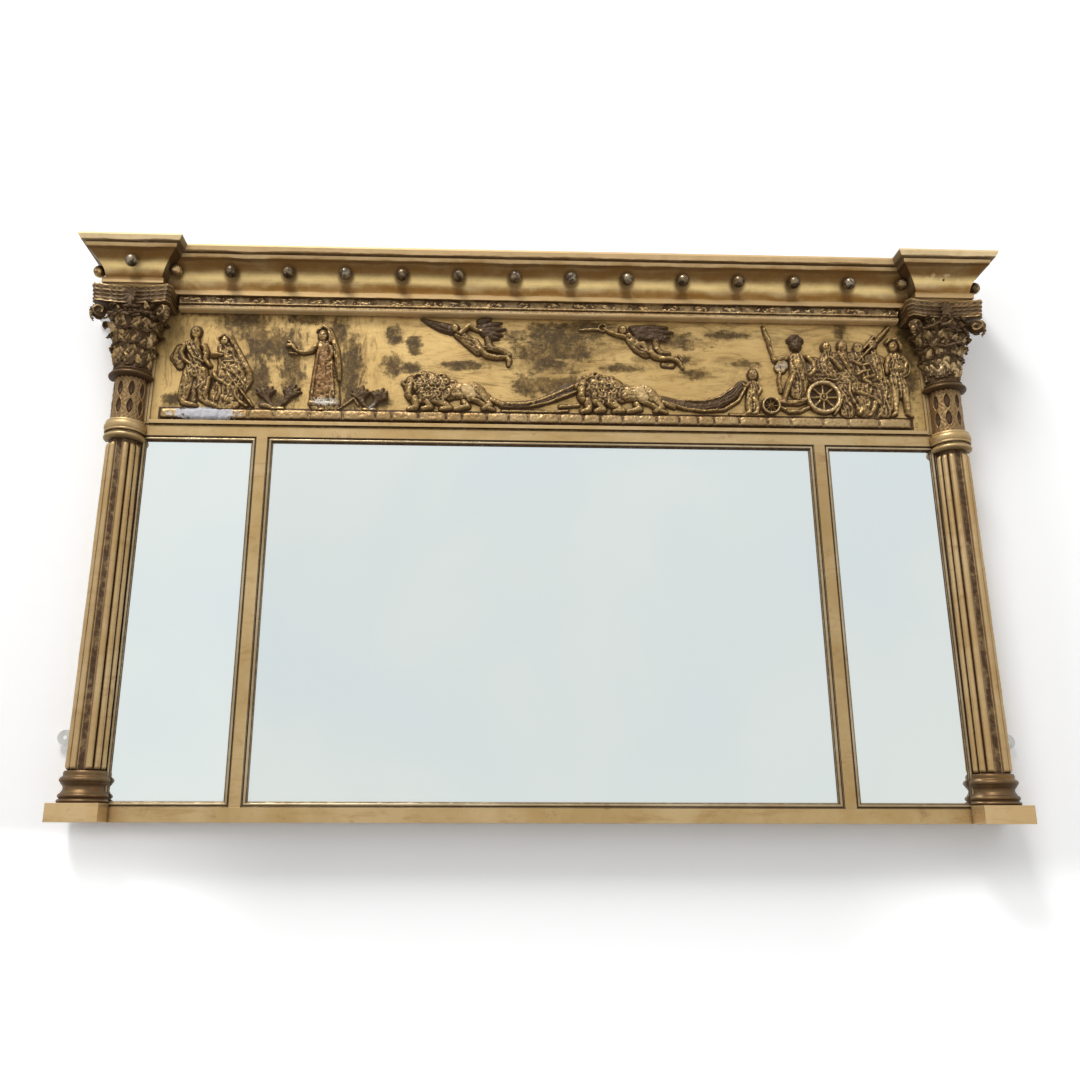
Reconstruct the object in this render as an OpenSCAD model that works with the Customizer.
// Overmantel mirror: a gilded pine frame with three mirror plates, a relief frieze and two half columns.
// X runs to the right, Y into the wall and Z up. The shelf is at Z = 0.
// In the modules below, Y = 0 is the front face of the rails; seat() then centres the depth on the origin.

/* [Overall] */
// Width over the two plinth blocks
frame_w = 1400; // [1300:10:1600]
// Thickness of the rails, stiles and mullions
rail_d = 38; // [32:1:45]
// Height of the bottom rail
bottom_rail_h = 21; // [18:1:40]
// Height of the opening for the mirror plates
opening_h = 570; // [500:10:700]
// Height of the top rail
top_rail_h = 16.5; // [14:0.5:30]
// Width of a mullion
mullion_w = 17; // [16:1:30]
// Width of the opening for each side plate
side_w = 181.75; // [150:0.25:260]
// Width of a stile
stile_w = 49.5; // [40:0.5:54]

/* [Joints] */
// Thickness of every tenon
tenon_t = 10; // [8:1:14]
// Length of the mullion tenons
short_tenon = 9; // [6:1:10]
// Length of the rail and stile tenons
long_tenon = 14; // [10:1:16]
// Shoulder cut off each edge of a tenon
tenon_shoulder = 2.5; // [2:0.5:4]
// Clearance round a tenon and at its end
joint_gap = 0.2; // [0.1:0.05:0.4]

/* [Frieze] */
// Height of the frieze panel between its mouldings
panel_h = 191.6; // [170:0.2:240]
// Thickness of the frieze board
board_t = 10; // [8:1:12]
// How far the frieze board lies behind the rails
board_back = 2; // [1:0.5:4]
// Depth of the groove in each stile that holds the frieze board
board_groove = 6; // [4:1:8]
// Height of the shadow groove under the frieze
shadow_h = 3.5; // [2:0.5:6]
// Height of the fillet under the panel
low_fillet_h = 6; // [4:0.5:10]
// Projection of that fillet in front of the rails
low_fillet_out = 3; // [1:0.5:5]
// Width of the moulding at each end of the panel
end_mould_w = 10; // [6:0.5:12]
// Height of the bead strip
bead_h = 8.4; // [6:0.2:12]
// Height of the leaf strip
leaf_strip_h = 15; // [12:0.5:20]
// Projection of the bead and leaf strips
strip_out = 12; // [8:0.5:15]
// Height of the paving under the figures
paving_h = 17; // [14:0.5:22]

/* [Figures] */
// Height of a standing figure, as a share of the panel's height
figure_share = 0.742; // [0.68:0.002:0.78]
// The places below are shares of the panel's half width, from its middle
herdsmen_share = -0.860; // [-0.87:0.001:-0.85]
left_shrub_share = -0.682; // [-0.70:0.001:-0.66]
woman_share = -0.566; // [-0.58:0.001:-0.55]
right_shrub_share = -0.446; // [-0.46:0.001:-0.44]
left_lion_share = -0.286; // [-0.29:0.001:-0.28]
right_lion_share = 0.156; // [0.15:0.001:0.17]
child_share = 0.551; // [0.54:0.001:0.555]
chariot_share = 0.669; // [0.66:0.001:0.68]
followers_share = 0.828; // [0.82:0.001:0.84]
bearer_share = 0.938; // [0.93:0.001:0.945]
left_genius_share = -0.178; // [-0.30:0.001:-0.16]
right_genius_share = 0.261; // [0.22:0.001:0.32]
// Height of the winged figures over the ground, as a share of a standing figure
genius_share = 0.831; // [0.76:0.001:0.87]

/* [Cornice] */
// Height from the column tops to the top of the cornice
cornice_h = 74; // [66:1:90]
// Projection of the lower fillet on the main cornice
main_out = 16.3; // [13:0.1:22]
// Projection of the lower fillet on an end block
block_out = 45.4; // [40:0.1:50]
// Width of an end block across its lower fillet
block_w = 98; // [90:1:110]
// Height of the lower fillet
fillet_h = 9; // [6:0.5:12]
// Recess under the lower fillet of an end block
block_neck_h = 4; // [2:0.5:6]
// How far the hollow starts behind the lower fillet
cove_sink = 4; // [1:0.5:6]
// How far the hollow ends in front of the lower fillet
cove_out = 21; // [16:0.5:24]
// Height of the fillet over the hollow
top_fillet_h = 7; // [4:0.5:9]
// Height of the top slab
slab_h = 10.5; // [8:0.5:14]
// Projection of that fillet past the lower fillet
top_fillet_out = 24; // [22:0.5:28]
// Height of the quirk under the top slab
quirk_h = 1.5; // [1:0.25:3]
// Projection of the top slab past the lower fillet
slab_out = 33; // [30:0.5:40]

/* [Balls] */
// Diameter of a ball
ball_d = 20; // [14:1:24]
// Distance between balls on the main cornice
ball_pitch = 93; // [70:1:110]
// Height of the ball centres above the column tops
ball_rise = 35; // [28:1:42]
// Diameter of the pin behind a ball
pin_d = 3; // [2:0.5:4]
// Length of the pin behind a ball
pin_len = 14; // [10:1:16]
// Clearance round and behind a ball pin
pin_gap = 0.15; // [0.1:0.05:0.3]

/* [Columns] */
// Width of a plinth block
plinth_w = 74; // [70:1:90]
// Height of a plinth block
plinth_h = 26; // [24:1:45]
// Projection of a plinth block
plinth_out = 41; // [39:1:50]
// Height of the column base
base_h = 45; // [38:1:60]
// Radius of the lower torus
base_r = 37; // [33:0.5:37]
// Shaft radius over the reeds at the foot
shaft_r = 29.5; // [27:0.5:31]
// Shaft radius over the reeds at the top
shaft_top_r = 27; // [25:0.5:28]
// Reeds in a full turn of the shaft
reeds = 14; // [10:2:20]
// Height of the necking over the shaft
necking_h = 33; // [28:1:40]
// Height of the patterned drum
drum_h = 71; // [60:1:90]
// Radius of the drum
drum_r = 25; // [23:0.5:26]
// Height of the collar ring over the drum
collar_h = 14; // [10:1:18]
// Radius of the collar ring
collar_r = 36; // [32:0.5:37]
// Height of the bell and its leaves
bell_h = 107; // [95:1:125]
// Radius of the bell at its foot
bell_r = 25; // [22:0.5:27]
// Height of the abacus
abacus_h = 29; // [24:1:34]
// Half width of the abacus at its front corners
abacus_half = 66; // [60:1:70]
// Projection of the abacus at its corners
abacus_out = 50; // [46:1:54]
// Outer radius of a corner scroll
scroll_r = 11; // [9:0.5:13]

/* [Plates] */
// Thickness of a mirror plate
glass_t = 3; // [2:0.5:5]
// Width of the slip round a plate
slip_w = 8.5; // [7:0.5:12]
// Thickness of a slip
slip_t = 5.5; // [4:0.5:7]
// How far a slip lies behind the rails
slip_back = 0.5; // [0:0.25:2]
// Clearance between a plate's edge and the frame
glass_gap = 1.5; // [1:0.25:2.5]
// Gap between two slip pieces at a mitre
mitre_gap = 0.15; // [0.1:0.05:0.4]
// Width of the rebate for a backboard
rebate_w = 5; // [4:0.5:6]
// Depth of the rebate for a backboard
rebate_d = 8; // [7:0.5:12]
// Thickness of a backboard
backboard_t = 6; // [4:0.5:6]
// Clearance between a backboard and its rebate
backboard_gap = 1; // [0.5:0.25:1.5]
// Diameter of a backboard nail
nail_d = 1.6; // [1.2:0.2:2]
// Length of a backboard nail
nail_len = 14; // [12:1:18]
// Leg of a glass block on the plate
glass_block_w = 8; // [6:1:10]
// Length of a glass block
glass_block_len = 36; // [24:2:50]

/* [Hanging plates] */
// Thickness of a hanging plate
ear_t = 1.5; // [1:0.25:3]
// Width of a hanging plate
ear_w = 22; // [18:1:28]
// Diameter of the wall screw hole
ear_hole_d = 6; // [4:0.5:8]
// Distance from a stile's outer edge to its lower wall screw
low_ear_reach = 27.25; // [20:0.25:50]
// Height of the lower wall screws
low_ear_z = 122; // [80:2:200]
// Distance from a stile's outer edge to its upper wall screw
top_ear_reach = 45.25; // [24:0.25:60]
// Height of the upper wall screws below the column tops
top_ear_drop = 14; // [12:1:40]
// Diameter of the screws that hold a hanging plate
ear_screw_d = 3.5; // [3:0.5:4.5]
// Length of those screws
ear_screw_len = 16; // [12:1:20]
// Clearance round those screws
screw_gap = 0.15; // [0.1:0.05:0.3]

/* [Hidden] */

// Fineness of turned surfaces
$fn = 64;
// Cut past a face, so that a hole leaves no skin
cut = 1;

// Heights of the layers, from the shelf up
opening_top = bottom_rail_h + opening_h;
board_z = opening_top + top_rail_h;
panel_z = board_z + shadow_h + low_fillet_h;
bead_z = panel_z + panel_h;
header_z = bead_z + bead_h;
column_top = header_z + leaf_strip_h;
frame_h = column_top + cornice_h;

// Places across the width
column_x = (frame_w - plinth_w) / 2;
stile_in = column_x - stile_w / 2;
stile_out = column_x + stile_w / 2;
mullion_x = stile_in - side_w - mullion_w / 2;
block_in = column_x - block_w / 2;
abacus_in = column_x - abacus_half;

// Heights of the column's pieces
base_z = plinth_h;
shaft_z = base_z + base_h;
abacus_z = column_top - abacus_h;
bell_z = abacus_z - bell_h;
collar_z = bell_z - collar_h;
drum_z = collar_z - drum_h;
necking_z = drum_z - necking_h;
shaft_h = necking_z - shaft_z;

// Depths
board_front = board_back;
glass_front = slip_back + slip_t;
glass_back = glass_front + glass_t;
rebate_front = rail_d - rebate_d;
ball_z = column_top + ball_rise;
front_reach = block_out + slab_out;
depth_shift = (front_reach - rail_d - ear_t) / 2;

// Colours
gilt = [0.72, 0.55, 0.27];
dark_gilt = [0.45, 0.33, 0.18];
bronze_gilt = [0.55, 0.42, 0.24];
bare_pine = [0.62, 0.47, 0.30];
brass = [0.80, 0.70, 0.45];
steel = [0.55, 0.55, 0.55];
silvered = [0.80, 0.84, 0.85];

// Moves the face of the rails so that the depth is centred on the origin
module seat() {
    translate([0, depth_shift, 0]) children();
}

// A box from its lowest corner to its highest
module slab(low, high) {
    translate(low) cube(high - low);
}

// A piece and its mirror image across the centre line
module both_sides() {
    children();
    mirror([1, 0, 0]) children();
}

// ---------- Frame ----------

// A tenon's cross section starts half way through the rail
tenon_y = (rail_d - tenon_t) / 2;

// Box for a tenon along X, or for its mortise when grown by the joint gap
module tenon_along_x(x0, x1, z0, z1, grow = 0) {
    slab([x0, tenon_y - grow, z0 + tenon_shoulder - grow],
         [x1, tenon_y + tenon_t + grow, z1 - tenon_shoulder + grow]);
}

// Box for a tenon along Z
module tenon_along_z(x0, x1, z0, z1, grow = 0) {
    slab([x0 + tenon_shoulder - grow, tenon_y - grow, z0],
         [x1 - tenon_shoulder + grow, tenon_y + tenon_t + grow, z1]);
}

module mullion_tenons(grow = 0) {
    tenon_along_z(mullion_x - mullion_w / 2, mullion_x + mullion_w / 2,
                  bottom_rail_h - short_tenon - grow, opening_top + short_tenon + grow, grow);
}

module stile_tenon(grow = 0) {
    tenon_along_z(stile_in, stile_out, bottom_rail_h - long_tenon - grow, bottom_rail_h + cut, grow);
}

module top_rail_tenon(grow = 0) {
    tenon_along_x(stile_in - cut, stile_in + long_tenon + grow, opening_top, board_z, grow);
}

module header_tenon(grow = 0) {
    tenon_along_x(stile_in - cut, stile_in + long_tenon + grow, header_z, column_top, grow);
}

// The rebate for one backboard, cut into everything round an opening from x0 to x1
module rebate(x0, x1) {
    slab([x0 - rebate_w, rebate_front, bottom_rail_h - rebate_w],
         [x1 + rebate_w, rail_d + cut, opening_top + rebate_w]);
}

side_x0 = mullion_x + mullion_w / 2;
side_x1 = stile_in;
centre_x1 = mullion_x - mullion_w / 2;

module rebates() {
    rebate(-centre_x1, centre_x1);
    both_sides() rebate(side_x0, side_x1);
}

// Nail places along an edge of a backboard: steps of about 180 mm, kept off the corners
nail_step = 180;
nail_inset = 40;
function nail_row(a, b) = let (
    n = max(1, round((b - a - 2 * nail_inset) / nail_step))
) [for (i = [0 : n]) a + nail_inset + (b - a - 2 * nail_inset) * i / n];

// Distance of a nail outside the opening's edge
nail_out = rebate_w / 2;

module nails_round(x0, x1, d, y0, y1) {
    for (x = nail_row(x0, x1), z = [bottom_rail_h - nail_out, opening_top + nail_out])
        translate([x, y0, z]) rotate([-90, 0, 0]) cylinder(h = y1 - y0, d = d);
    for (z = nail_row(bottom_rail_h, opening_top), x = [x0 - nail_out, x1 + nail_out])
        translate([x, y0, z]) rotate([-90, 0, 0]) cylinder(h = y1 - y0, d = d);
}

nail_back = rebate_front + backboard_t;
nail_gap = 0.1;

module all_nails(d, y0, y1) {
    nails_round(-centre_x1, centre_x1, d, y0, y1);
    both_sides() nails_round(side_x0, side_x1, d, y0, y1);
}

module nail_holes() {
    all_nails(nail_d + 2 * nail_gap, nail_back - nail_len - nail_gap, rail_d + cut);
}

module bottom_rail() {
    color(gilt) seat() difference() {
        slab([-frame_w / 2, 0, 0], [frame_w / 2, rail_d, bottom_rail_h]);
        both_sides() {
            mullion_tenons(joint_gap);
            stile_tenon(joint_gap);
        }
        rebates();
        nail_holes();
    }
}

module top_rail() {
    color(gilt) seat() difference() {
        union() {
            slab([-stile_in, 0, opening_top], [stile_in, rail_d, board_z]);
            both_sides() top_rail_tenon();
        }
        both_sides() mullion_tenons(joint_gap);
        rebates();
        nail_holes();
    }
}

module stile() {
    difference() {
        union() {
            slab([stile_in, 0, bottom_rail_h], [stile_out, rail_d, column_top]);
            stile_tenon();
        }
        top_rail_tenon(joint_gap);
        header_tenon(joint_gap);
        frieze_groove();
        rebates();
        nail_holes();
        ear_screw_holes();
    }
}

module left_stile() {
    color(gilt) seat() mirror([1, 0, 0]) stile();
}

module right_stile() {
    color(gilt) seat() stile();
}

module mullion() {
    difference() {
        union() {
            slab([mullion_x - mullion_w / 2, 0, bottom_rail_h],
                 [mullion_x + mullion_w / 2, rail_d, opening_top]);
            mullion_tenons();
        }
        rebates();
        nail_holes();
    }
}

module left_mullion() {
    color(gilt) seat() mirror([1, 0, 0]) mullion();
}

module right_mullion() {
    color(gilt) seat() mullion();
}

// The beam behind the cornice: its lower part spans the stiles, its upper part the end blocks
module header() {
    color(bare_pine) seat() difference() {
        union() {
            slab([-stile_in, 0, header_z], [stile_in, rail_d, column_top]);
            slab([-block_in, 0, column_top], [block_in, rail_d, frame_h]);
            both_sides() header_tenon();
        }
        main_ball_pins(pin_gap);
    }
}

// ---------- Frieze ----------

// The frieze board runs into a groove in each stile
module frieze_groove() {
    slab([stile_in - cut, board_front - joint_gap, board_z - joint_gap],
         [stile_in + board_groove + joint_gap, board_front + board_t + joint_gap, header_z + joint_gap]);
}

module frieze_board() {
    color(gilt) seat() slab([-stile_in - board_groove, board_front, board_z],
                            [stile_in + board_groove, board_front + board_t, header_z]);
}

panel_x = stile_in - end_mould_w;

module frieze_fillet() {
    color(gilt) seat() slab([-panel_x, -low_fillet_out, board_z + shadow_h], [panel_x, board_front, panel_z]);
}

// Each end moulding is a flat strip with one groove down it
module frieze_end_mouldings() {
    groove_w = end_mould_w / 10;
    groove_x = panel_x + end_mould_w * 0.4;
    color(gilt) seat() both_sides() difference() {
        slab([panel_x, 0, board_z + shadow_h], [stile_in, board_front, bead_z]);
        slab([groove_x, -cut, board_z], [groove_x + groove_w, board_front / 2, bead_z + cut]);
    }
}

// Length of the strips: they end where the abacus begins
strip_gap = 0.5;
strip_x = abacus_in - strip_gap;

// A half round bead in front of a flat back
module bead_strip() {
    color(dark_gilt) seat() {
        rotate([0, 90, 0]) linear_extrude(2 * strip_x, center = true) union() {
            translate([-bead_z - bead_h / 2, -strip_out + bead_h / 2]) circle(d = bead_h);
            translate([-header_z, -strip_out + bead_h / 2])
                square([bead_h, strip_out - bead_h / 2 + board_front]);
        }
    }
}

// A row of leaves and berries on a flat strip
leaf_step = 24;
module leaf_strip() {
    count = floor(strip_x / leaf_step);
    color(dark_gilt) seat() union() {
        slab([-strip_x, -strip_out + 2, header_z], [strip_x, 0, column_top]);
        for (i = [-count : count - 1])
            translate([(i + 0.5) * leaf_step, -strip_out + 2.5, header_z + leaf_strip_h / 2])
                rotate([90, 0, 0]) leaf_pair(leaf_step, leaf_strip_h);
    }
}

// Two pointed leaves either side of a berry
module leaf_pair(step, h) {
    for (a = [0, 180])
        rotate(a) linear_extrude(1.5)
            polygon([[h * 0.16, 0], [step * 0.22, h * 0.32], [step * 0.45, 0], [step * 0.22, -h * 0.32]]);
    cylinder(h = 2.5, r = h * 0.15);
}

// ---------- Cornice ----------

// Outline of the cornice as [projection past the lower fillet, height above the column tops].
// The hollow is a parabola: it leans out faster the higher it gets.
cove_steps = 10;
cove_top = cornice_h - slab_h - quirk_h - top_fillet_h;
function cornice_outline(back, fillet_z) = let (cove_low = fillet_z + fillet_h) concat(
    [[-back, fillet_z], [0, fillet_z], [0, cove_low]],
    [for (i = [0 : cove_steps]) let (t = i / cove_steps)
        [-cove_sink + (cove_sink + cove_out) * t * t, cove_low + (cove_top - cove_low) * t]],
    [[top_fillet_out - 2, cove_top], [top_fillet_out, cove_top + top_fillet_h],
     [top_fillet_out - 3, cove_top + top_fillet_h], [top_fillet_out - 3, cornice_h - slab_h],
     [slab_out - 4, cornice_h - slab_h], [slab_out, cornice_h - slab_h * 0.3],
     [slab_out, cornice_h], [-back, cornice_h]]
);

module main_cornice() {
    color(gilt) seat() difference() {
        translate([0, -main_out, column_top]) rotate([90, 0, 90])
            linear_extrude(2 * (block_in + cove_sink), center = true)
                mirror([1, 0]) polygon(cornice_outline(main_out, 0));
        both_sides() block_body();
        main_ball_pins(pin_gap);
    }
}

// An end block is where three extrusions meet, so its mouldings turn the corners in mitres
module block_body() {
    intersection() {
        translate([column_x, -block_out, column_top]) rotate([90, 0, 90])
            linear_extrude(2 * block_w, center = true)
                mirror([1, 0]) polygon(cornice_outline(block_out + rail_d, block_neck_h));
        union() for (side = [-1, 1])
            translate([column_x + side * block_w / 2, rail_d, column_top]) rotate([90, 0, 0])
                linear_extrude(block_out + rail_d + slab_out + cut)
                    mirror([side < 0 ? 1 : 0, 0]) polygon(cornice_outline(block_w / 2, block_neck_h));
    }
    slab([column_x - block_w / 2 + cove_sink, -block_out + cove_sink, column_top],
         [column_x + block_w / 2 - cove_sink, rail_d, column_top + block_neck_h]);
}

module left_end_block() {
    color(gilt) seat() difference() {
        mirror([1, 0, 0]) block_body();
        mirror([1, 0, 0]) block_ball_pins(pin_gap);
    }
}

module right_end_block() {
    color(gilt) seat() difference() {
        block_body();
        block_ball_pins(pin_gap);
    }
}

// ---------- Balls ----------

// Projection of the hollow at the height of the balls
function cove_at(fillet_z) = let (
    low = fillet_z + fillet_h,
    t = (ball_rise - low) / (cove_top - low)
) -cove_sink + (cove_sink + cove_out) * t * t;

// The hollow leans out over a ball, so the ball stands this much off the surface at its own height
ball_stand = 1.2;
main_ball_y = -main_out - cove_at(0) - ball_d / 2 - ball_stand;
block_ball_y = -block_out - cove_at(block_neck_h) - ball_d / 2 - ball_stand;
corner_ball_x = block_in - cove_at(block_neck_h) - ball_d / 2 - ball_stand;
return_ball_x = column_x + block_w / 2 + cove_at(block_neck_h) + ball_d / 2 + ball_stand;
return_ball_y = -block_out / 2;

// Balls stand either side of the centre line, with one more in the corner by each block
ball_count = floor((corner_ball_x - ball_d) / ball_pitch + 0.5);
ball_xs = concat([for (i = [0 : ball_count - 1]) (i + 0.5) * ball_pitch], [corner_ball_x]);

// A ball with its pin pointing along +Y
module pinned_ball() {
    sphere(d = ball_d);
    rotate([-90, 0, 0]) cylinder(h = ball_d / 2 + pin_len, d = pin_d);
}

module pin_hole(grow) {
    rotate([-90, 0, 0]) cylinder(h = ball_d / 2 + pin_len + grow, d = pin_d + 2 * grow);
}

module main_ball_pins(grow) {
    both_sides() for (x = ball_xs)
        translate([x, main_ball_y, ball_z]) pin_hole(grow);
}

module block_ball_pins(grow) {
    translate([column_x, block_ball_y, ball_z]) pin_hole(grow);
    translate([return_ball_x, return_ball_y, ball_z]) rotate(90) pin_hole(grow);
}

module cornice_balls() {
    color(steel) seat() both_sides() for (x = ball_xs)
        translate([x, main_ball_y, ball_z]) pinned_ball();
}

// The right block has lost the ball on its front, and its pin hole is left open
module end_block_balls() {
    color(steel) seat() {
        translate([-column_x, block_ball_y, ball_z]) pinned_ball();
        both_sides() translate([return_ball_x, return_ball_y, ball_z]) rotate(90) pinned_ball();
    }
}

// ---------- Columns ----------

// Everything on a column is cut off flat at the face of the stile
module half_turned(z0, height) {
    intersection() {
        translate([column_x, 0, 0]) children();
        slab([column_x - 2 * base_r, -2 * base_r, z0], [column_x + 2 * base_r, 0, z0 + height]);
    }
}

module plinth() {
    slab([column_x - plinth_w / 2, -plinth_out, 0], [column_x + plinth_w / 2, 0, plinth_h]);
}

// Lower torus, hollow, upper torus and a flare up to the shaft
module column_base() {
    torus_h = base_h * 0.3;
    upper_h = base_h * 0.22;
    upper_z = base_h * 0.62;
    half_turned(base_z, base_h) translate([0, 0, base_z]) union() {
        cylinder(h = base_h, r = shaft_r - 1);
        translate([0, 0, torus_h / 2]) rotate_extrude()
            translate([base_r - torus_h / 2, 0]) circle(d = torus_h);
        cylinder(h = torus_h, r = base_r - torus_h / 2);
        cylinder(h = upper_z, r = base_r - 4.5);
        translate([0, 0, upper_z + upper_h / 2]) rotate_extrude()
            translate([base_r - 1.5 - upper_h / 2, 0]) circle(d = upper_h);
        translate([0, 0, upper_z]) cylinder(h = upper_h, r = base_r - 1.5 - upper_h / 2);
        translate([0, 0, upper_z + upper_h])
            cylinder(h = base_h - upper_z - upper_h, r1 = base_r - 3, r2 = shaft_r);
    }
}

// Reeds stand round a core, all leaning in with the taper; the one at the front is lost and leaves a channel
reed_r = PI * shaft_r / reeds * 0.86;
reed_top_r = PI * shaft_top_r / reeds * 0.86;
module shaft() {
    half_turned(shaft_z, shaft_h) translate([0, 0, shaft_z]) union() {
        cylinder(h = shaft_h, r1 = shaft_r - reed_r * 0.85, r2 = shaft_top_r - reed_top_r * 0.85);
        for (i = [-floor(reeds / 4) : floor(reeds / 4)])
            if (i != 0)
                rotate(-90 + i * 360 / reeds)
                    translate([shaft_r - reed_r, 0, 0])
                        rotate([0, -atan((shaft_r - reed_r - shaft_top_r + reed_top_r) / shaft_h), 0])
                            cylinder(h = shaft_h, r1 = reed_r, r2 = reed_top_r, $fn = 24);
    }
}

// A ring, a narrow quirk and a swelling band
module necking() {
    ring_h = necking_h * 0.27;
    half_turned(necking_z, necking_h) translate([0, 0, necking_z]) union() {
        cylinder(h = necking_h, r = drum_r + 1);
        translate([0, 0, ring_h / 2]) rotate_extrude()
            translate([shaft_top_r + 1, 0]) circle(d = ring_h);
        cylinder(h = ring_h, r = shaft_top_r + 1);
        translate([0, 0, ring_h + 2]) cylinder(h = necking_h - ring_h - 4, r = drum_r + 5);
        translate([0, 0, necking_h / 2 + ring_h / 2]) rotate_extrude()
            translate([drum_r + 1, 0]) circle(d = necking_h * 0.42);
    }
}

// Lozenges in two rows, 45 degrees apart, stand a little proud of the drum
module drum() {
    lozenge_h = drum_h * 0.42;
    lozenge_w = drum_r * 0.5;
    half_turned(drum_z, drum_h) translate([0, 0, drum_z]) union() {
        cylinder(h = drum_h, r = drum_r);
        intersection() {
            cylinder(h = drum_h, r = drum_r + 1.5);
            union() for (row = [0, 1], i = [0 : 7])
                rotate(-90 + (i + row / 2) * 45)
                    translate([0, 0, drum_h * (0.28 + 0.44 * row)]) rotate([90, 0, 90])
                        linear_extrude(2 * drum_r)
                            polygon([[0, -lozenge_h / 2], [lozenge_w / 2, 0],
                                     [0, lozenge_h / 2], [-lozenge_w / 2, 0]]);
        }
    }
}

module collar() {
    half_turned(collar_z, collar_h) translate([0, 0, collar_z + collar_h / 2]) union() {
        rotate_extrude() translate([collar_r - collar_h / 2, 0]) circle(d = collar_h);
        cylinder(h = collar_h, r = collar_r - collar_h / 2, center = true);
    }
}

// One tier of leaves: a ring that curls outwards at its lip, cut into pointed leaves.
// The outline is [radius, height] from the foot of the leaf to its lip and back down its inside.
module leaf_tier(foot_r, lip_r, tier_h, count, turn) {
    half_step = 180 / count;
    leaf_w = 2 * lip_r * tan(half_step) * 0.8;
    intersection() {
        rotate_extrude() polygon([
            [0, 0], [foot_r, 0], [foot_r + 2, tier_h * 0.5], [foot_r + 4, tier_h * 0.78], [lip_r, tier_h * 0.9],
            [lip_r + 1, tier_h * 0.82], [lip_r + 2, tier_h * 0.92], [lip_r, tier_h],
            [foot_r + 1, tier_h * 0.95], [0, tier_h * 0.7]
        ]);
        union() for (i = [0 : count - 1])
            rotate(turn + i * 360 / count) rotate([90, 0, 90])
                linear_extrude(2 * lip_r)
                    polygon([[-leaf_w * 0.38, 0], [leaf_w * 0.38, 0], [leaf_w * 0.5, tier_h * 0.55],
                             [leaf_w * 0.28, tier_h * 0.92], [0, tier_h + cut],
                             [-leaf_w * 0.28, tier_h * 0.92], [-leaf_w * 0.5, tier_h * 0.55]]);
    }
}

// Outline of a corner scroll in the upright plane of its diagonal: a stem that leans out of the bell
// and ends in a round eye
module scroll_outline(reach) {
    eye_z = bell_h - scroll_r - 3;
    polygon([[0, bell_h * 0.42], [reach * 0.35, bell_h * 0.46], [reach * 0.72, bell_h * 0.66],
             [reach * 0.95, eye_z - scroll_r * 0.5], [reach, eye_z + scroll_r * 0.6],
             [reach - 4, eye_z + scroll_r], [reach * 0.62, bell_h * 0.84], [reach * 0.4, bell_h * 0.74], [0, bell_h * 0.72]]);
    translate([reach - scroll_r * 0.4, eye_z]) circle(r = scroll_r);
}

// The bell, two tiers of leaves and a scroll under each front corner of the abacus
module capital() {
    scroll_t = 14;
    reach = norm([abacus_half, abacus_out]) - scroll_r * 0.7;
    corner_turn = atan2(abacus_out - scroll_r / 2, abacus_half - scroll_r / 2);
    intersection() {
        translate([column_x, 0, bell_z]) union() {
            cylinder(h = bell_h, r1 = bell_r, r2 = bell_r + 6);
            leaf_tier(bell_r + 2, bell_r + 13, bell_h * 0.42, 8, 0);
            leaf_tier(bell_r + 5, bell_r + 20, bell_h * 0.72, 8, 22.5);
            for (a = [-corner_turn, 180 + corner_turn])
                rotate(a) rotate([90, 0, 0]) linear_extrude(scroll_t, center = true) scroll_outline(reach);
        }
        slab([column_x - 2 * abacus_half, -2 * abacus_out, bell_z], [column_x + 2 * abacus_half, 0, abacus_z]);
    }
}

// Outline of the abacus from above: hollow front and sides that meet in blunt corners
abacus_steps = 12;
function abacus_outline(inset) = let (
    w = abacus_half - inset,
    d = abacus_out - inset,
    dip = 8,
    blunt = 7
) concat(
    [for (i = [0 : abacus_steps]) let (u = -1 + 2 * i / abacus_steps)
        [u * (w - blunt), -d + dip * (1 - u * u)]],
    [for (i = [0 : abacus_steps / 2]) let (u = i / (abacus_steps / 2))
        [w - dip * (1 - (1 - u) * (1 - u)), (-d + blunt) * (1 - u)]],
    [for (i = [0 : abacus_steps / 2]) let (u = 1 - i / (abacus_steps / 2))
        [-w + dip * (1 - (1 - u) * (1 - u)), (-d + blunt) * (1 - u)]]
);

// Three moulded layers with a flower at the middle of the front
module abacus() {
    layer = abacus_h / 4;
    flower_r = abacus_h * 0.42;
    translate([column_x, 0, abacus_z]) union() {
        linear_extrude(abacus_h) polygon(abacus_outline(5));
        translate([0, 0, layer]) linear_extrude(layer) polygon(abacus_outline(3));
        translate([0, 0, 2 * layer]) linear_extrude(2 * layer) polygon(abacus_outline(0));
        translate([0, -abacus_out + 14, abacus_h / 2]) rotate([90, 0, 0])
            cylinder(h = 14, r1 = flower_r, r2 = flower_r * 0.6);
    }
}

module left_plinth() {
    color(gilt) seat() mirror([1, 0, 0]) plinth();
}

module right_plinth() {
    color(gilt) seat() plinth();
}

module left_column_base() {
    color(dark_gilt) seat() mirror([1, 0, 0]) column_base();
}

module right_column_base() {
    color(dark_gilt) seat() column_base();
}

module left_shaft() {
    color(gilt) seat() mirror([1, 0, 0]) shaft();
}

module right_shaft() {
    color(gilt) seat() shaft();
}

module left_necking() {
    color(bronze_gilt) seat() mirror([1, 0, 0]) necking();
}

module right_necking() {
    color(bronze_gilt) seat() necking();
}

module left_drum() {
    color(gilt) seat() mirror([1, 0, 0]) drum();
}

module right_drum() {
    color(gilt) seat() drum();
}

module left_collar() {
    color(dark_gilt) seat() mirror([1, 0, 0]) collar();
}

module right_collar() {
    color(dark_gilt) seat() collar();
}

module left_capital() {
    color(bronze_gilt) seat() mirror([1, 0, 0]) capital();
}

module right_capital() {
    color(bronze_gilt) seat() capital();
}

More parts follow.
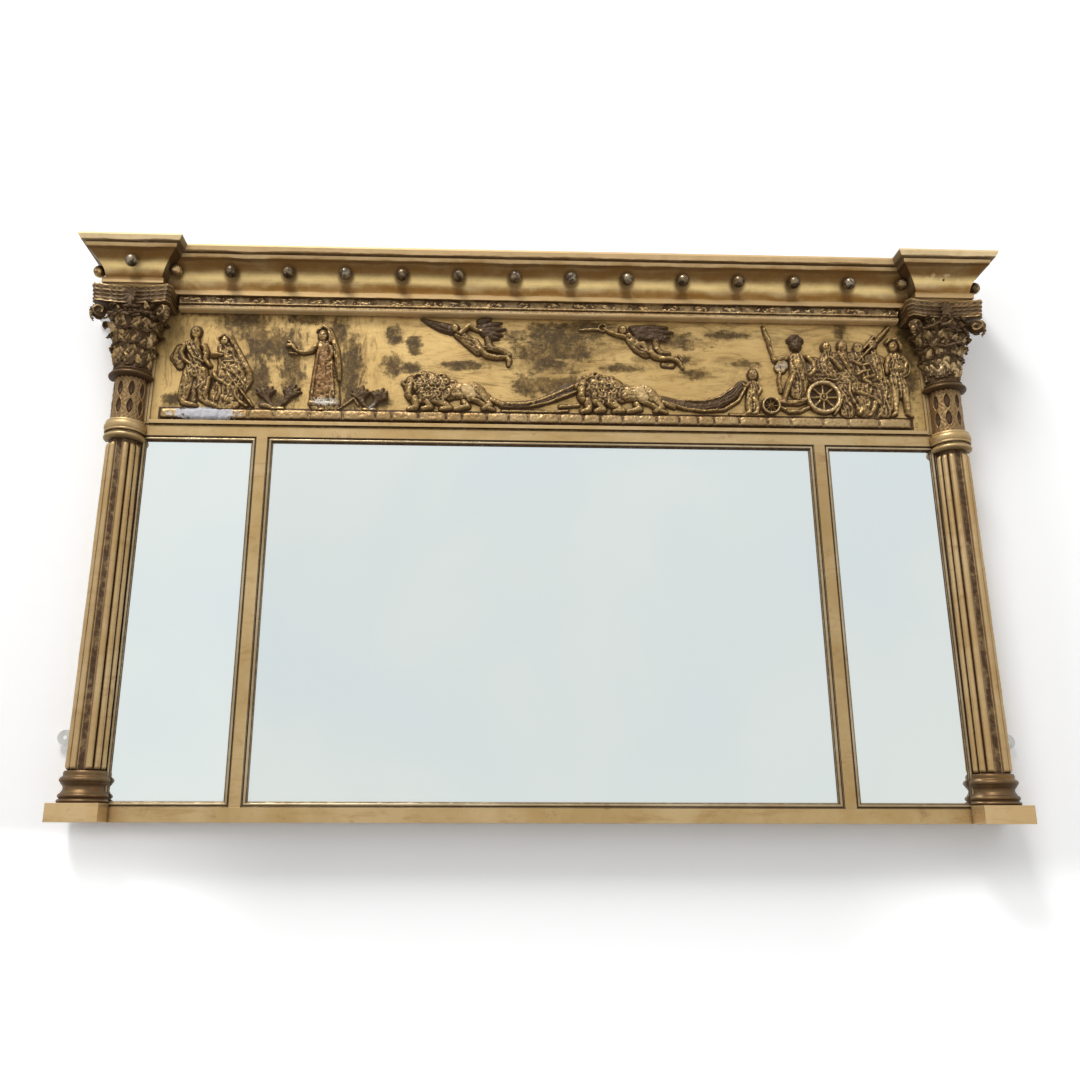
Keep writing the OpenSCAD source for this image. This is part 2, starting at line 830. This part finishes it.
module left_abacus() {
    color(bronze_gilt) seat() mirror([1, 0, 0]) abacus();
}

module right_abacus() {
    color(bronze_gilt) seat() abacus();
}

// ---------- Plates and what holds them ----------

module plate(x0, x1) {
    slab([x0 + glass_gap, glass_front, bottom_rail_h + glass_gap],
         [x1 - glass_gap, glass_back, opening_top - glass_gap]);
}

// Four strips round an opening, mitred at the corners
module slip(x0, x1) {
    w = x1 - x0;
    for (side = [0, 1]) {
        // bottom and top strips
        translate([x0, glass_front, side == 0 ? bottom_rail_h : opening_top]) rotate([90, 0, 0])
            linear_extrude(slip_t) mirror([0, side])
                polygon([[mitre_gap, 0], [w - mitre_gap, 0],
                         [w - slip_w - mitre_gap, slip_w], [slip_w + mitre_gap, slip_w]]);
        // left and right strips
        translate([side == 0 ? x0 : x1, glass_front, bottom_rail_h]) rotate([90, 0, 0])
            linear_extrude(slip_t) mirror([side, 0])
                polygon([[0, mitre_gap], [slip_w, slip_w + mitre_gap],
                         [slip_w, opening_h - slip_w - mitre_gap], [0, opening_h - mitre_gap]]);
    }
}

module backboard(x0, x1) {
    reach = rebate_w - backboard_gap;
    difference() {
        slab([x0 - reach, rebate_front, bottom_rail_h - reach],
             [x1 + reach, rebate_front + backboard_t, opening_top + reach]);
        nails_round(x0, x1, nail_d + 2 * nail_gap, rebate_front - cut, rail_d + cut);
    }
}

module left_plate() {
    color(silvered) seat() plate(-side_x1, -side_x0);
}

module centre_plate() {
    color(silvered) seat() plate(-centre_x1, centre_x1);
}

module right_plate() {
    color(silvered) seat() plate(side_x0, side_x1);
}

module left_slip() {
    color(bronze_gilt) seat() slip(-side_x1, -side_x0);
}

module centre_slip() {
    color(bronze_gilt) seat() slip(-centre_x1, centre_x1);
}

module right_slip() {
    color(bronze_gilt) seat() slip(side_x0, side_x1);
}

module left_backboard() {
    color(bare_pine) seat() backboard(-side_x1, -side_x0);
}

module centre_backboard() {
    color(bare_pine) seat() backboard(-centre_x1, centre_x1);
}

module right_backboard() {
    color(bare_pine) seat() backboard(side_x0, side_x1);
}

module backboard_nails() {
    color(steel) seat() all_nails(nail_d, nail_back - nail_len, nail_back);
}

// Triangular blocks glued to the frame's inner edges behind the plates
module glass_block() {
    linear_extrude(glass_block_len, center = true)
        polygon([[0, glass_back], [glass_block_w, glass_back], [0, rebate_front]]);
}

module glass_blocks_at(x0, x1) {
    third = opening_h / 3;
    for (z = [bottom_rail_h + third, opening_top - third]) {
        translate([x0, 0, z]) glass_block();
        translate([x1, 0, z]) mirror([1, 0, 0]) glass_block();
    }
    // the same block laid along the bottom and top rails
    translate([(x0 + x1) / 2, 0, bottom_rail_h]) rotate([0, -90, 0]) glass_block();
    translate([(x0 + x1) / 2, 0, opening_top]) mirror([0, 0, 1]) rotate([0, -90, 0]) glass_block();
}

module glass_blocks() {
    color(bare_pine) seat() {
        glass_blocks_at(-centre_x1, centre_x1);
        both_sides() glass_blocks_at(side_x0, side_x1);
    }
}

// Rubbed blocks in the corner between the top rail and the back of the frieze board
glue_block_w = 18;
glue_block_len = 60;
glue_block_step = 270;
module glue_blocks() {
    count = floor((stile_in - glue_block_len) / glue_block_step);
    board_rear = board_front + board_t;
    color(bare_pine) seat() for (i = [-count : count])
        translate([i * glue_block_step, board_rear, board_z]) rotate([90, 0, 90])
            linear_extrude(glue_block_len, center = true)
                polygon([[0, 0], [glue_block_w, 0], [0, glue_block_w]]);
}

// ---------- Hanging plates ----------

// Places of the two screws of a hanging plate, on the stile
ear_screw_inset = 10;
ear_screw_xs = [stile_in + ear_screw_inset, stile_out - ear_screw_inset];
low_ear_x = stile_out + low_ear_reach;
top_ear_x = stile_out + top_ear_reach;
top_ear_z = column_top - top_ear_drop;

// A brass strip with a round end past the stile, drilled for the wall screw
module ear(hole_x, z) {
    translate([0, rail_d, z]) rotate([-90, 0, 0]) difference() {
        union() {
            translate([hole_x, 0, 0]) cylinder(h = ear_t, d = ear_w);
            translate([stile_in + 3, -ear_w / 2, 0]) cube([hole_x - stile_in - 3, ear_w, ear_t]);
        }
        translate([hole_x, 0, -cut]) cylinder(h = ear_t + 2 * cut, d = ear_hole_d);
        for (x = ear_screw_xs)
            translate([x, 0, -cut]) cylinder(h = ear_t + 2 * cut, d = ear_screw_d + 2 * screw_gap);
    }
}

module hanging_plates() {
    color(brass) seat() both_sides() {
        ear(low_ear_x, low_ear_z);
        ear(top_ear_x, top_ear_z);
    }
}

module ear_screws_at(d, y0, y1) {
    for (x = ear_screw_xs, z = [low_ear_z, top_ear_z])
        translate([x, y0, z]) rotate([-90, 0, 0]) cylinder(h = y1 - y0, d = d);
}

module ear_screw_holes() {
    ear_screws_at(ear_screw_d + 2 * screw_gap, rail_d + ear_t - ear_screw_len - screw_gap, rail_d + cut);
}

module hanging_plate_screws() {
    color(steel) seat() both_sides() ear_screws_at(ear_screw_d, rail_d + ear_t - ear_screw_len, rail_d + ear_t);
}

// ---------- Relief ----------

// Heights in the relief are measured from the top of the paving
ground_z = panel_z + paving_h + 4;
relief_facets = 8;

// The figures below are drawn for a standing figure of this height on a panel of this half width.
// They take their share of the panel's height, or less where the panel is too short for the procession.
drawn_h = 142;
drawn_panel_x = 628.25;
figure_scale = min(figure_share * panel_h / drawn_h, panel_x / drawn_panel_x);

// One lump of the relief, [x, height, radius]: a faceted ball half sunk in the board
module lump(p) {
    translate([p[0] * figure_scale, board_front + p[2] * 0.15 * figure_scale, ground_z + p[1] * figure_scale])
        rotate([90, 0, 0]) sphere(r = p[2] * figure_scale, $fn = relief_facets);
}

// A limb of the relief joins the lumps of a list
module limb(lumps) {
    for (i = [0 : len(lumps) - 2])
        hull() {
            lump(lumps[i]);
            lump(lumps[i + 1]);
        }
}

// Relief stands on the board and on the ground, and nothing of it goes behind the board's face
module relief(bottom = ground_z) {
    color(gilt) seat() intersection() {
        union() children();
        slab([-panel_x, -4 * low_fillet_out, bottom], [panel_x, board_front, bead_z]);
    }
}

// Paving stones in one long strip
stone_pitch = 64;
stone_joint = 2;
paving_margin = 16;
module paving() {
    count = floor(2 * (panel_x - paving_margin) / stone_pitch);
    x0 = -count * stone_pitch / 2;
    z0 = panel_z + 4;
    relief(panel_z + 2) {
        slab([x0 + 6, board_front - 3, z0], [-x0 - 6, board_front, z0 + paving_h]);
        for (i = [0 : count - 1])
            slab([x0 + i * stone_pitch + stone_joint, -4, z0 + 1],
                 [x0 + (i + 1) * stone_pitch - stone_joint, board_front, z0 + paving_h - 1]);
    }
}

// Groups are drawn about their own middle and keep their share of the panel's half width
module at_share(share) {
    translate([share * panel_x, 0, 0]) children();
}

// A bare-legged man who looks down, and a cloaked man who leans on his staff
module herdsmen() {
    relief() at_share(herdsmen_share) {
        limb([[-27, 131, 11], [-28, 112, 7], [-34, 96, 17], [-26, 74, 15]]);
        limb([[-50, 104, 9], [-54, 86, 9], [-42, 72, 10]]);
        limb([[-38, 108, 6], [-26, 90, 6], [-6, 82, 5]]);
        limb([[-34, 66, 11], [-32, 40, 8], [-37, 12, 6], [-24, 4, 5]]);
        limb([[-18, 66, 11], [-9, 38, 8], [-6, 14, 6], [10, 4, 5]]);
        limb([[20, 116, 10], [24, 96, 16], [32, 70, 19], [36, 34, 17], [32, 10, 12]]);
        limb([[34, 106, 6], [56, 62, 8], [62, 40, 7]]);
        limb([[4, 92, 5], [24, 90, 5]]);
        limb([[37, 48, 3], [72, 4, 3]]);
    }
}

module robed_woman() {
    relief() at_share(woman_share) {
        limb([[-5, 134, 11], [-2, 112, 10], [1, 70, 17], [1, 14, 20]]);
        limb([[9, 128, 7], [21, 92, 6], [26, 52, 6]]);
        limb([[-17, 20, 8], [1, 14, 10], [21, 20, 8]]);
        limb([[-11, 110, 6], [-39, 98, 4], [-57, 104, 4]]);
        limb([[-59, 112, 7], [-49, 104, 4]]);
    }
}

// A low shrub of two clumps on one root
module shrub() {
    limb([[-19, 29, 12], [-4, 11, 4], [0, 2, 4]]);
    limb([[15, 29, 11], [0, 6, 4]]);
}

module shrubs() {
    relief() {
        at_share(left_shrub_share) shrub();
        at_share(right_shrub_share) shrub();
    }
}

// A winged figure that dives to the right
module genius() {
    translate([0, 0, genius_share * drawn_h * figure_scale]) {
        limb([[-84, 44, 4], [-44, 28, 9], [-20, 16, 11], [4, 0, 12], [22, -18, 9]]);
        limb([[-22, 34, 6], [-4, 30, 5], [14, 22, 6]]);
        limb([[6, 30, 12], [20, 32, 10], [44, 36, 5]]);
        limb([[22, -18, 6], [44, -24, 5], [56, -28, 6]]);
        limb([[34, -10, 6], [54, -16, 6], [60, -34, 4]]);
    }
}

module left_genius() {
    relief() at_share(left_genius_share) genius();
}

module right_genius() {
    relief() at_share(right_genius_share) genius();
}

// A lion that strides to the left, with its traces behind it
module lion() {
    limb([[-36, 36, 28], [-4, 40, 27], [24, 34, 20], [56, 28, 18], [84, 14, 12]]);
    limb([[-46, 20, 12], [-42, 4, 7]]);
    limb([[-20, 18, 14], [-8, 4, 7]]);
    limb([[38, 18, 10], [16, 4, 6]]);
    limb([[84, 14, 7], [124, 10, 5], [140, 13, 4]]);
}

// The left lion's traces run up to the mane of the right lion, and that one's up to the child's hands
trace_gap = 8;
mane_reach = 64;
module left_lion() {
    trace_end = (right_lion_share - left_lion_share) * panel_x / figure_scale - mane_reach - trace_gap;
    relief() at_share(left_lion_share) {
        lion();
        limb([[140, 13, 4], [trace_end - 30, 18, 4], [trace_end, 26, 5]]);
    }
}

module right_lion() {
    hand = (child_share - right_lion_share) * panel_x / figure_scale - 20;
    relief() at_share(right_lion_share) {
        lion();
        limb([[132, 12, 4], [hand - 40, 22, 4], [hand, 54, 5]]);
    }
}

module child() {
    relief() at_share(child_share) limb([[1, 72, 12], [0, 56, 9], [-2, 36, 12], [-4, 14, 12]]);
}

// A wheel with eight spokes in front of a thin disc
module wheel(x, z, drawn_r) {
    r = drawn_r * figure_scale;
    rim = r * 0.16;
    translate([x * figure_scale, 0, ground_z + z * figure_scale]) rotate([90, 0, 0]) {
        difference() {
            cylinder(h = 7, r = r);
            translate([0, 0, -cut]) cylinder(h = 7 + 2 * cut, r = r - rim);
        }
        cylinder(h = 8, r = r * 0.24);
        for (a = [0 : 45 : 315])
            rotate(a) translate([0, -rim * 0.4, 0]) cube([r - rim / 2, rim * 0.8, 5]);
        translate([0, 0, -board_front]) cylinder(h = board_front + 1, r = r);
    }
}

module chariot_forms() {
    at_share(chariot_share) {
        wheel(41, 33, 29);
        wheel(-47, 17, 15);
        limb([[-28, 26, 6], [10, 26, 7], [66, 66, 8]]);
        limb([[-24, 26, 5], [-16, 62, 5]]);
        limb([[-32, 16, 4], [0, 8, 4], [18, 16, 4]]);
    }
}

module chariot() {
    relief() chariot_forms();
}

// The driver with a torch, and four followers who crowd behind the chariot
module rider_forms() {
    at_share(chariot_share) {
        limb([[2, 132, 14], [4, 110, 12], [6, 92, 20], [4, 70, 18]]);
        limb([[-16, 106, 7], [-26, 90, 11], [-16, 64, 7], [-22, 34, 6]]);
        limb([[22, 106, 7], [28, 88, 7], [20, 72, 7]]);
        limb([[-51, 158, 3], [-46, 130, 5], [-36, 98, 4]]);
    }
    at_share(followers_share) {
        limb([[-45, 124, 10], [-42, 100, 15], [-20, 70, 18], [-10, 30, 22]]);
        limb([[-20, 124, 10], [-14, 96, 16], [10, 70, 20], [20, 26, 22]]);
        limb([[8, 126, 10], [10, 100, 15], [32, 70, 18], [46, 26, 16]]);
        limb([[31, 134, 10], [32, 108, 14], [40, 60, 16]]);
        limb([[62, 160, 4], [46, 138, 4], [20, 110, 4]]);
    }
}

// The riders are carved round the chariot that stands before them
module riders() {
    relief() difference() {
        rider_forms();
        chariot_forms();
    }
}

module shield_bearer() {
    relief() difference() {
        at_share(bearer_share) {
            limb([[-2, 130, 11], [-1, 108, 10], [-1, 80, 17], [3, 40, 17], [5, 6, 12]]);
            limb([[11, 104, 7], [19, 90, 6]]);
            translate([4 * figure_scale, 0, ground_z + 87 * figure_scale]) rotate([90, 0, 0])
                cylinder(h = 9, r1 = 15 * figure_scale, r2 = 10 * figure_scale);
        }
        rider_forms();
    }
}

bottom_rail();
top_rail();
left_stile();
right_stile();
left_mullion();
right_mullion();
header();
frieze_board();
frieze_fillet();
frieze_end_mouldings();
bead_strip();
leaf_strip();
main_cornice();
left_end_block();
right_end_block();
cornice_balls();
end_block_balls();
left_plinth();
left_column_base();
left_shaft();
left_necking();
left_drum();
left_collar();
left_capital();
left_abacus();
right_plinth();
right_column_base();
right_shaft();
right_necking();
right_drum();
right_collar();
right_capital();
right_abacus();
left_plate();
centre_plate();
right_plate();
left_slip();
centre_slip();
right_slip();
left_backboard();
centre_backboard();
right_backboard();
glass_blocks();
backboard_nails();
glue_blocks();
hanging_plates();
hanging_plate_screws();
paving();
herdsmen();
robed_woman();
shrubs();
left_genius();
right_genius();
left_lion();
right_lion();
child();
chariot();
riders();
shield_bearer();
